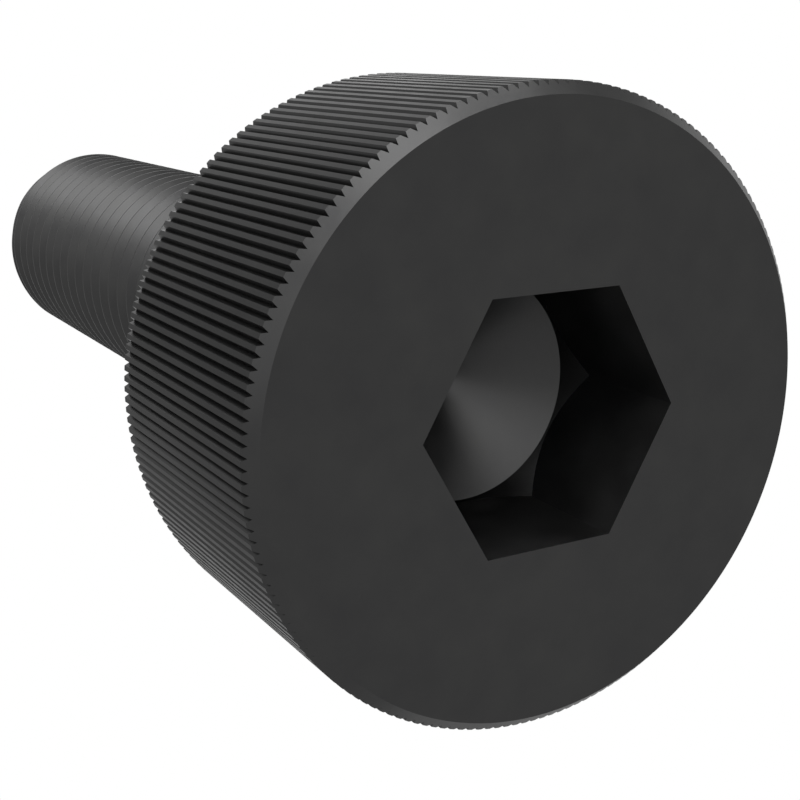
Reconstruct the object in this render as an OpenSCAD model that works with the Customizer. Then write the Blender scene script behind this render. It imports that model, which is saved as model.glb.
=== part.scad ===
// Socket head cap screw: a wide knurled head, a hexagon socket and a round shank.
// The origin is the centre of the socket's face, and +Z runs along the axis to the tip.

/* [Head] */
// Diameter of the head over the crests of its knurl
head_d = 20.2; // [19.6:0.1:24]
// Height of the head, from the socket's face to the bearing face
head_h = 9.8; // [9:0.1:12]
// Size of the 45 degree chamfer round the socket's face
face_chamfer = 0.4; // [0.3:0.05:0.8]
// Radius of the fillet between the bearing face and the shank
fillet_r = 0.4; // [0.2:0.05:0.6]

/* [Knurl] */
// Number of straight grooves round the head
knurl_count = 180; // [120:6:180]
// Depth of a groove below the crests
knurl_depth = 0.15; // [0.1:0.01:0.24]
// Angle between the two flanks of a groove
knurl_angle = 65; // [50:5:70]
// Turn of a groove's centre away from the socket's corner on +X
knurl_turn = 0; // [0:0.1:2]

/* [Socket] */
// Width of the hexagon socket across its flats
socket_af = 8; // [6:0.1:8.4]
// Depth of the hexagon's flats
socket_depth = 5; // [4:0.1:5.4]
// Slope, from the floor's plane, of the cone that ends the hexagon's corners
corner_slope = 50; // [40:2:60]
// Width across the flats less the diameter of the drilled floor
drill_allowance = 0.1; // [0.04:0.02:0.4]
// Angle of the drilled floor's point
drill_angle = 120; // [110:2:140]

/* [Shank] */
// Diameter of the shank over the crests of its thread
shank_d = 10; // [9.6:0.05:10]
// Length of the shank, from the bearing face to the tip
shank_l = 35; // [12:1:80]
// Size of the 45 degree chamfer round the tip
tip_chamfer = 0.5; // [0.3:0.05:1.2]

/* [Hidden] */
$fn = 96;
head_r = head_d / 2;
shank_r = shank_d / 2;
length = head_h + shank_l;
// How far a cutting shape runs past the faces that it cuts
clear = 1;

// The flanks of two neighbouring grooves would meet at this radius, past the crests
groove_r = head_r - knurl_depth;
half_pitch = 180 / knurl_count;
flank = knurl_angle / 2;
flank_meet_r = groove_r * sin(flank) / sin(flank - half_pitch);

// The socket's corners, its drilled floor and the point below the floor
corner_r = socket_af / 2 / cos(30);
drill_r = (socket_af - drill_allowance) / 2;
corner_depth = socket_depth - (corner_r + clear - drill_r) * tan(corner_slope);
point_depth = socket_depth + drill_r / tan(drill_angle / 2);

// A point at a radius and an angle
function polar(r, a) = [r * cos(a), r * sin(a)];

// Section of the material left in the corner under the head
module fillet_section() {
    difference() {
        square(fillet_r);
        translate([fillet_r, fillet_r])
            circle(fillet_r);
    }
}

// Half of the screw's section before the knurl and the socket are made
module blank_section() {
    polygon([
        [0, 0],
        [head_r - face_chamfer, 0],
        [head_r, face_chamfer],
        [head_r, head_h],
        [shank_r, head_h],
        [shank_r, length - tip_chamfer],
        [shank_r - tip_chamfer, length],
        [0, length]
    ]);
    translate([shank_r, head_h])
        fillet_section();
}

// Outline of the grooves, whose teeth run out past the crests of the knurl
module knurl_section() {
    polygon([
        for (i = [0 : knurl_count - 1], side = [0, 1])
            polar(side == 0 ? groove_r : flank_meet_r, knurl_turn + (2 * i + side) * half_pitch)
    ]);
}

// The turned blank with its straight knurl, which leaves the shank untouched
module knurled_blank() {
    intersection() {
        rotate_extrude()
            blank_section();
        translate([0, 0, -clear])
            linear_extrude(length + 2 * clear)
                knurl_section();
    }
}

// The space in the socket: a hexagon that ends in a cone at its corners and a drilled point
module socket_space() {
    intersection() {
        translate([0, 0, -clear])
            cylinder(r = corner_r, h = point_depth + 2 * clear, $fn = 6);
        rotate_extrude()
            polygon([
                [0, -2 * clear],
                [corner_r + clear, -2 * clear],
                [corner_r + clear, corner_depth],
                [drill_r, socket_depth],
                [0, point_depth]
            ]);
    }
}

module cap_screw() {
    color("dimgray")
        difference() {
            knurled_blank();
            socket_space();
        }
}

cap_screw();
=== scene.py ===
"""Dresses the socket head cap screw: its knurled head, hexagon socket, thread and finish.

The screw stands on its head. The camera looks at the socket's face from in front and below.
Lengths are in millimetres and angles in degrees, unless a comment says otherwise.
"""

import math

import bpy
from mathutils import Matrix, Vector


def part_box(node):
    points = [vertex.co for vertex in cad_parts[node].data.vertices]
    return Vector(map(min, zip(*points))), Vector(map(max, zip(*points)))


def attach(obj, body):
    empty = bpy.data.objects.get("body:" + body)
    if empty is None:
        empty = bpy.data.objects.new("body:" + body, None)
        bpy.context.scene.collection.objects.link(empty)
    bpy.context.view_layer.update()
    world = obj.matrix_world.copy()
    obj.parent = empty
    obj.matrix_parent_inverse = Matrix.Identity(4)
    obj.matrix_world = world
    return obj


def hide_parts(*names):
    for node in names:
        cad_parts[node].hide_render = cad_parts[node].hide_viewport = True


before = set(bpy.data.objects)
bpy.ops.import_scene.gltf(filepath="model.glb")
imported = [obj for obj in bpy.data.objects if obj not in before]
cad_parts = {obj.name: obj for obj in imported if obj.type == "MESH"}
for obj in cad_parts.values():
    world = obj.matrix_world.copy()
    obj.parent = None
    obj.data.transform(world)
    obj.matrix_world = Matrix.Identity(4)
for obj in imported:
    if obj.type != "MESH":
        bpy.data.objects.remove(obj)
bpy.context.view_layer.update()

# A millimetre in the scene's metres
MM = 0.001
NODE = "cap_screw"

# Overall sizes, taken from the highest corner of the node's box
box_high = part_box(NODE)[1]
HEAD_R = round(box_high.x / MM, 1)
LENGTH = round(box_high.z / MM, 2)
# Edges between faces that meet at more than this angle stay sharp
SHARP_ANGLE = 15

# Head
HEAD_H = 9.8
FACE_CHAMFER = 0.4
FILLET_R = 0.4
FILLET_STEPS = 6

# Knurl
KNURL_COUNT = 180
KNURL_DEPTH = 0.15
KNURL_ANGLE = 65
KNURL_TURN = 0
CREST_STEPS = 3
FLANK_STEPS = 3

# Socket
SOCKET_AF = 8.0
SOCKET_DEPTH = 5.0
CORNER_SLOPE = 50
DRILL_R = 3.95
DRILL_ANGLE = 120
SIDES = 6
SIDE_STEPS = 24
POINT_RINGS = 6
POINT_SHRINK = 0.4

# Shank and thread. The crest is half as wide as the standard form's.
SHANK_R = 5.0
TIP_CHAMFER = 0.5
PITCH = 1.25
THREAD_ANGLE = 60
CREST_FLAT = PITCH / 16
ROOT_R = 0.17 * PITCH
# Plain length under the head, and the length over which the thread grows to its full depth
NECK = 2.5
RUN_OUT = 1.4
# Move of the whole helix along the axis
THREAD_SHIFT = 0.12
# Whole turns past the thread's two ends, which fold into the rings there
TURNS_BELOW = 2
TURNS_ABOVE = 1
THREAD_COLUMNS = 144
FLANK_ROWS = 4
ROOT_ROWS = 6

# Places in the list of finishes
PLAIN = 0
PAINTED_LIGHT_WALL = 1
PAINTED_SHADE_CORNER = 2
PAINTED_LIGHT_GROOVE = 3

# Finishes as (name, darkest tone, lightest tone, metallic share), with linear tones.
# They are for the plain surfaces; the socket's walls, made lighter as painted light; its corners,
# made near-black as painted shade; and the grooves, whose small diffuse share is painted light.
FINISHES = (
    ("black_oxide", (0.0335, 0.0335, 0.0340), (0.0405, 0.0405, 0.0400), 1.0),
    # Socket walls: a tone about four times lighter than the plain oxide, painted light that lifts
    # the walls the deep socket shades
    ("painted_light_walls", (0.12, 0.12, 0.12), (0.17, 0.17, 0.17), 1.0),
    # Socket corners: a near-black tone, painted shade in the drill's corner reliefs
    ("painted_shade_corners", (0.006, 0.006, 0.006), (0.008, 0.008, 0.008), 1.0),
    # Knurl grooves: a slightly darker base with a small diffuse share, which the lamps lift in the
    # shaded grooves as painted light
    ("painted_light_grooves", (0.0300, 0.0300, 0.0305), (0.0365, 0.0365, 0.0360), 0.9),
)
EDGE_TINT = (0.55, 0.55, 0.55)
ROUGHNESS = (0.28, 0.36)
# Share of the stains in the clouding, whose other share is the finer mottle
STAIN_SHARE = 0.4
# Noises as (size, detail, roughness)
MOTTLE = (1.6, 5, 0.6)
STAIN = (6.0, 2, 0.5)
GRAIN = (0.09, 3, 0.6)
DENT = (0.7, 2, 0.5)
GRAIN_HEIGHT = 0.0012
DENT_HEIGHT = 0.003
# Most of a noise lies between these values
NOISE_RANGE = (0.3, 0.7)

# Camera, as place, view line and roll in the screw's own frame
CAMERA_PLACE = (-2.141, -25.960, -31.384)
CAMERA_FORWARD = (0.01849, 0.54842, 0.83600)
CAMERA_UP = (0.90135, -0.37100, 0.22344)
CAMERA_LENS = 60.31
CAMERA_SENSOR = 36
CAMERA_NEAR = 1

# Lamps as (name, azimuth, elevation, strength in W/m2, width).
# Azimuth 0 is +X and 90 is +Y, as seen from the screw.
LAMPS = (
    ("key", -68, -5, 0.45, 32),
    ("upper", -38, -12, 1.3, 32),
    ("edge", -13, 9, 1.85, 32),
    ("front", -53, -42, 1.3, 30),
    ("socket", -25, -48, 0.2, 26),
    ("low", -82, -66, 0.2, 30),
    ("fill", -98, -26, 0.3, 40),
    ("top", 0, 74, 0.35, 45),
    ("back", 130, 0, 0.4, 32),
    ("side", 42, 15, 0.35, 32),
)

# Surroundings
WHITE = (1, 1, 1)
WORLD_LIGHT = 0.6
FLOOR_TONE = (0.85, 0.85, 0.85)
FLOOR_SIZE = 3000
FLOOR_GAP = 0.05


class MeshMaker:
    """Collects points in millimetres and faces, and turns them into one object."""

    def __init__(self):
        self.points = []
        self.faces = []
        self.finishes = []

    def ring(self, polar_points):
        """Adds points given as (radius, angle in radians, z) and returns their numbers."""
        first = len(self.points)
        for r, a, z in polar_points:
            self.points.append((r * math.cos(a), r * math.sin(a), z))
        return list(range(first, len(self.points)))

    def angle_of(self, number):
        """A point's angle round the axis, from 0 to a full turn in radians."""
        x, y, z = self.points[number]
        return math.atan2(y, x) % math.tau

    def face(self, *numbers, finish=PLAIN):
        """Adds a face, without its repeated corners. One that is left with no area is dropped."""
        corners = [n for i, n in enumerate(numbers) if n != numbers[i - 1]]
        if len(corners) > 2:
            self.faces.append(corners)
            self.finishes.append(finish)

    def band(self, first, second, finishes=(PLAIN,)):
        """Joins two rings of the same count by four-sided faces, and repeats the finishes.

        The faces look away from the axis where the first ring is the higher one.
        """
        count = len(first)
        for i in range(count):
            j = (i + 1) % count
            finish = finishes[i % len(finishes)]
            self.face(first[i], second[i], second[j], first[j], finish=finish)

    def stitch(self, first, second):
        """Joins two level rings of different counts by triangles.

        The faces look up where the first ring is the wider one, and down otherwise.
        """
        first = sorted(first, key=self.angle_of)
        second = sorted(second, key=self.angle_of)
        i = j = 0
        while i < len(first) or j < len(second):
            first_turns, next_i = divmod(i + 1, len(first))
            second_turns, next_j = divmod(j + 1, len(second))
            first_angle = self.angle_of(first[next_i]) + math.tau * first_turns
            second_angle = self.angle_of(second[next_j]) + math.tau * second_turns
            a = first[i % len(first)]
            b = second[j % len(second)]
            if j >= len(second) or (i < len(first) and first_angle <= second_angle):
                self.face(a, first[next_i], b)
                i += 1
            else:
                self.face(a, second[next_j], b)
                j += 1

    def build(self, name):
        """Makes the object, with smooth faces between sharp edges."""
        mesh = bpy.data.meshes.new(name)
        scaled = [(x * MM, y * MM, z * MM) for x, y, z in self.points]
        mesh.from_pydata(scaled, [], self.faces)
        mesh.polygons.foreach_set("use_smooth", [True] * len(mesh.polygons))
        mesh.polygons.foreach_set("material_index", self.finishes)
        mesh.set_sharp_from_angle(angle=math.radians(SHARP_ANGLE))
        mesh.validate()
        piece = bpy.data.objects.new(name, mesh)
        bpy.context.scene.collection.objects.link(piece)
        return piece


def knurl_outline():
    """The head's outline as (radius, angle) pairs: flat crests between straight-sided grooves."""
    groove_r = HEAD_R - KNURL_DEPTH
    flank = math.radians(KNURL_ANGLE / 2)
    # Turn from a groove's bottom to the edge of the crest beside it
    edge = flank - math.asin(groove_r * math.sin(flank) / HEAD_R)
    pitch = math.tau / KNURL_COUNT
    crest = pitch - 2 * edge
    outline = []
    for i in range(KNURL_COUNT):
        middle = math.radians(KNURL_TURN) + i * pitch
        for k in range(-FLANK_STEPS, FLANK_STEPS):
            turn = edge * k / FLANK_STEPS
            # A straight flank in polar form
            r = groove_r * math.sin(flank) / math.sin(flank - abs(turn))
            outline.append((r, middle + turn))
        for k in range(CREST_STEPS):
            outline.append((HEAD_R, middle + edge + crest * k / CREST_STEPS))
    return outline


def socket_outline():
    """The hexagon as (radius, angle) pairs, with a corner on +X."""
    outline = []
    side = math.tau / SIDES
    for i in range(SIDES * SIDE_STEPS):
        angle = i * side / SIDE_STEPS
        outline.append((SOCKET_AF / 2 / math.cos(angle % side - side / 2), angle))
    return outline


def thread_profile():
    """One pitch of the thread as (place along the axis, depth below the crest) pairs."""
    flank = math.radians(THREAD_ANGLE / 2)
    half = PITCH / 2
    crest_end = CREST_FLAT / 2
    sharp_depth = (half - crest_end) / math.tan(flank)
    root_middle = sharp_depth - ROOT_R / math.sin(flank)
    root_turn = math.pi / 2 - flank
    flank_end = half - ROOT_R * math.sin(root_turn)
    flank_depth = root_middle + ROOT_R * math.cos(root_turn)
    half_profile = [(crest_end, 0.0)]
    for k in range(1, FLANK_ROWS):
        share = k / FLANK_ROWS
        half_profile.append((crest_end + share * (flank_end - crest_end), share * flank_depth))
    for k in range(ROOT_ROWS // 2 + 1):
        turn = root_turn * (1 - 2 * k / ROOT_ROWS)
        place = half - ROOT_R * math.sin(turn)
        half_profile.append((place, root_middle + ROOT_R * math.cos(turn)))
    mirrored = [(PITCH - place, depth) for place, depth in reversed(half_profile[:-1])]
    return half_profile + mirrored


def add_head(maker):
    """The head's outside, from its face's edge to its rear edge. Returns both edges."""
    outline = knurl_outline()
    face_r = HEAD_R - FACE_CHAMFER
    face_edge = maker.ring((face_r, a, 0.0) for r, a in outline)
    # The chamfer reaches each point of the outline at that point's own height
    chamfer_edge = maker.ring((r, a, r - face_r) for r, a in outline)
    rear_edge = maker.ring((r, a, HEAD_H) for r, a in outline)
    maker.band(chamfer_edge, face_edge)
    # The groove flanks take the finish whose diffuse share is painted light in their shade
    maker.band(rear_edge, chamfer_edge, (PAINTED_LIGHT_GROOVE,) * 2 * FLANK_STEPS + (PLAIN,) * CREST_STEPS)
    return face_edge, rear_edge


def add_socket(maker, face_edge):
    """The face round the socket, the hexagon's walls, its corner reliefs and the drilled floor."""
    outline = socket_outline()
    slope = math.tan(math.radians(CORNER_SLOPE))
    point_depth = SOCKET_DEPTH + DRILL_R / math.tan(math.radians(DRILL_ANGLE / 2))
    mouth = maker.ring((r, a, 0.0) for r, a in outline)
    wall_end = maker.ring((r, a, SOCKET_DEPTH - (r - DRILL_R) * slope) for r, a in outline)
    ring = maker.ring((DRILL_R, a, SOCKET_DEPTH) for r, a in outline)
    maker.stitch(mouth, face_edge)
    # The walls take the lighter finish, painted light in the socket's shade
    maker.band(mouth, wall_end, (PAINTED_LIGHT_WALL,))
    # The corner reliefs take the near-black finish, painted shade deep in the socket
    maker.band(wall_end, ring, (PAINTED_SHADE_CORNER,))
    # Rings close to the drill point, so that it shades as a cone down to its tip
    for k in range(1, POINT_RINGS):
        share = POINT_SHRINK ** k
        z = point_depth - (point_depth - SOCKET_DEPTH) * share
        wider = ring
        ring = maker.ring((DRILL_R * share, a, z) for r, a in outline)
        maker.band(wider, ring)
    point = maker.ring([(0.0, 0.0, point_depth)])[0]
    for i, number in enumerate(ring):
        maker.face(number, point, ring[(i + 1) % len(ring)])


def add_shank(maker, rear_edge):
    """The bearing face, the fillet, the neck, the thread and the tip."""
    angles = [math.tau * c / THREAD_COLUMNS for c in range(THREAD_COLUMNS)]
    ring = maker.ring((SHANK_R + FILLET_R, a, HEAD_H) for a in angles)
    maker.stitch(rear_edge, ring)
    for k in range(1, FILLET_STEPS + 1):
        turn = math.pi / 2 * k / FILLET_STEPS
        r = SHANK_R + FILLET_R * (1 - math.sin(turn))
        z = HEAD_H + FILLET_R * (1 - math.cos(turn))
        wider = ring
        ring = maker.ring((r, a, z) for a in angles)
        maker.band(ring, wider)
    neck_top = HEAD_H + NECK
    neck_end = maker.ring((SHANK_R, a, neck_top) for a in angles)
    maker.band(neck_end, ring)
    tip = maker.ring((SHANK_R - TIP_CHAMFER, a, LENGTH) for a in angles)
    add_thread(maker, neck_end, tip, neck_top)
    maker.face(*tip)


def thread_radius(z, depth):
    """The radius at a height, with the run-out near the head and the chamfer of the tip."""
    share = min(1.0, max(0.0, (z - HEAD_H - NECK) / RUN_OUT))
    # An S-shaped rise from 0 to 1
    share = share * share * (3 - 2 * share)
    return min(SHANK_R - depth * share, SHANK_R - TIP_CHAMFER + LENGTH - z)


def add_thread(maker, neck_end, tip, neck_top):
    """A right-hand helix of the profile between two rings. Rows past them fold into them."""
    profile = thread_profile()
    rows_per_turn = len(profile)
    turns = TURNS_BELOW + math.ceil((LENGTH - neck_top) / PITCH) + TURNS_ABOVE
    rows = []
    for row in range(turns * rows_per_turn):
        turn, step = divmod(row, rows_per_turn)
        place, depth = profile[step]
        base = neck_top + (turn - TURNS_BELOW) * PITCH + place + THREAD_SHIFT
        numbers = []
        for c in range(THREAD_COLUMNS + 1):
            column = c % THREAD_COLUMNS
            z = base + PITCH * c / THREAD_COLUMNS
            if z <= neck_top:
                numbers.append(neck_end[column])
            elif z >= LENGTH:
                numbers.append(tip[column])
            elif c == THREAD_COLUMNS:
                # The last column is the first one, a turn further on
                numbers.append(None)
            else:
                angle = math.tau * column / THREAD_COLUMNS
                numbers += maker.ring([(thread_radius(z, depth), angle, z)])
        rows.append(numbers)
    for row, numbers in enumerate(rows):
        if numbers[-1] is None:
            numbers[-1] = rows[row + rows_per_turn][0]
    for lower, upper in zip(rows, rows[1:]):
        for c in range(THREAD_COLUMNS):
            maker.face(lower[c], lower[c + 1], upper[c + 1], upper[c])


def build_screw():
    """One closed mesh of the screw, in the frame's own place."""
    maker = MeshMaker()
    face_edge, rear_edge = add_head(maker)
    add_socket(maker, face_edge)
    add_shank(maker, rear_edge)
    return maker.build("cap_screw_body")


class Nodes:
    """The nodes of one material or world."""

    def __init__(self, owner):
        owner.use_nodes = True
        self.tree = owner.node_tree

    def set(self, node, inputs):
        """Sets a node's inputs, given by name or number, from values and outputs."""
        for key, value in inputs.items():
            if isinstance(value, bpy.types.NodeSocket):
                self.tree.links.new(value, node.inputs[key])
            else:
                node.inputs[key].default_value = value

    def add(self, kind, inputs=None, **settings):
        """A new node with its settings and inputs."""
        node = self.tree.nodes.new(kind)
        for name, value in settings.items():
            setattr(node, name, value)
        self.set(node, inputs or {})
        return node

    def noise(self, place, size, detail, roughness):
        """Cloudy noise from 0 to 1 whose patches are about size millimetres across."""
        inputs = {"Vector": place, "Scale": 1 / size, "Detail": detail, "Roughness": roughness}
        return self.add("ShaderNodeTexNoise", inputs).outputs["Fac"]

    def spread(self, value, lowest, highest):
        """Spreads a noise's usual range over the range from lowest to highest."""
        inputs = {
            "Value": value,
            "From Min": NOISE_RANGE[0],
            "From Max": NOISE_RANGE[1],
            "To Min": lowest,
            "To Max": highest,
        }
        return self.add("ShaderNodeMapRange", inputs).outputs["Result"]

    def seen_rays(self, *kinds):
        """The highest of the named outputs of Light Path."""
        path = self.add("ShaderNodeLightPath")
        seen = path.outputs[kinds[0]]
        for kind in kinds[1:]:
            inputs = {0: seen, 1: path.outputs[kind]}
            seen = self.add("ShaderNodeMath", inputs, operation="MAXIMUM").outputs[0]
        return seen


def black_oxide(name, dark, light, metal):
    """Satin black oxide on steel: softly clouded, with the fine etched grain of the oxide. Some
    finishes' tones hold painted light or shade.
    """
    material = bpy.data.materials.new(name)
    nodes = Nodes(material)
    place = nodes.add("ShaderNodeTexCoord").outputs["Object"]
    scaled = nodes.add("ShaderNodeVectorMath", {0: place, "Scale": 1 / MM}, operation="SCALE")
    place = scaled.outputs[0]
    mottle = nodes.noise(place, *MOTTLE)
    cloud = nodes.add(
        "ShaderNodeMix", {"Factor": STAIN_SHARE, "A": mottle, "B": nodes.noise(place, *STAIN)}
    )
    share = nodes.spread(cloud.outputs["Result"], 0.0, 1.0)
    # In a mix of colours, A and B are inputs 6 and 7, and the result is output 2
    grey = nodes.add(
        "ShaderNodeMix", {"Factor": share, 6: (*dark, 1), 7: (*light, 1)}, data_type="RGBA"
    )
    fine = nodes.add(
        "ShaderNodeBump", {"Distance": GRAIN_HEIGHT * MM, "Height": nodes.noise(place, *GRAIN)}
    )
    bump = nodes.add("ShaderNodeBump", {
        "Distance": DENT_HEIGHT * MM,
        "Height": nodes.noise(place, *DENT),
        "Normal": fine.outputs["Normal"],
    })
    nodes.set(nodes.tree.nodes["Principled BSDF"], {
        "Base Color": grey.outputs[2],
        "Metallic": metal,
        "Roughness": nodes.spread(mottle, *ROUGHNESS),
        "Specular Tint": (*EDGE_TINT, 1),
        "Normal": bump.outputs["Normal"],
    })
    return material


def add_camera():
    """The camera fitted to the photo's view."""
    data = bpy.data.cameras.new("camera")
    data.lens = CAMERA_LENS
    data.sensor_width = CAMERA_SENSOR
    data.clip_start = CAMERA_NEAR * MM
    camera = bpy.data.objects.new("camera", data)
    back = -Vector(CAMERA_FORWARD).normalized()
    right = Vector(CAMERA_UP).cross(back).normalized()
    up = back.cross(right)
    turn = Matrix((right, up, back)).transposed()
    camera.matrix_world = Matrix.Translation(Vector(CAMERA_PLACE) * MM) @ turn.to_4x4()
    bpy.context.scene.collection.objects.link(camera)
    bpy.context.scene.camera = camera


def add_lamps():
    """Large soft distant lamps, most of them on the camera's side."""
    for name, azimuth, elevation, strength, width in LAMPS:
        data = bpy.data.lights.new(name, "SUN")
        data.energy = strength
        data.angle = math.radians(width)
        lamp = bpy.data.objects.new(name, data)
        lamp.rotation_euler = (math.radians(90 - elevation), 0, math.radians(90 + azimuth))
        bpy.context.scene.collection.objects.link(lamp)


def add_world():
    """White where the camera, metal or glass sees it, and a softer light elsewhere."""
    world = bpy.data.worlds.new("world")
    nodes = Nodes(world)
    seen = nodes.seen_rays("Is Camera Ray", "Is Glossy Ray", "Is Transmission Ray")
    inputs = {"Value": seen, "To Min": WORLD_LIGHT, "To Max": 1.0}
    strength = nodes.add("ShaderNodeMapRange", inputs).outputs["Result"]
    nodes.set(nodes.tree.nodes["Background"], {"Color": (*WHITE, 1), "Strength": strength})
    bpy.context.scene.world = world


def floor_material():
    """A pale material that only the camera sees, and only from above."""
    material = bpy.data.materials.new("floor")
    nodes = Nodes(material)
    nodes.tree.nodes.remove(nodes.tree.nodes["Principled BSDF"])
    pale = nodes.add("ShaderNodeBsdfDiffuse", {"Color": (*FLOOR_TONE, 1)})
    clear = nodes.add("ShaderNodeBsdfTransparent")
    under = nodes.add("ShaderNodeNewGeometry").outputs["Backfacing"]
    inputs = {0: nodes.seen_rays("Is Camera Ray"), 1: under}
    shown = nodes.add("ShaderNodeMath", inputs, operation="SUBTRACT", use_clamp=True)
    inputs = {0: shown.outputs[0], 1: clear.outputs[0], 2: pale.outputs[0]}
    mix = nodes.add("ShaderNodeMixShader", inputs)
    nodes.set(nodes.tree.nodes["Material Output"], {"Surface": mix.outputs[0]})
    return material


def add_floor():
    """A pale floor under the head. It shows from above alone, so the socket can be seen."""
    half = FLOOR_SIZE / 2 * MM
    z = -FLOOR_GAP * MM
    corners = [(-half, -half, z), (half, -half, z), (half, half, z), (-half, half, z)]
    mesh = bpy.data.meshes.new("floor")
    mesh.from_pydata(corners, [], [(0, 1, 2, 3)])
    mesh.materials.append(floor_material())
    floor = bpy.data.objects.new("floor", mesh)
    bpy.context.scene.collection.objects.link(floor)


screw = build_screw()
for name, dark, light, metal in FINISHES:
    screw.data.materials.append(black_oxide(name, dark, light, metal))
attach(screw, "root")
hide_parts(NODE)

add_floor()
add_lamps()
add_world()
add_camera()
bpy.context.scene.view_settings.view_transform = "Standard"
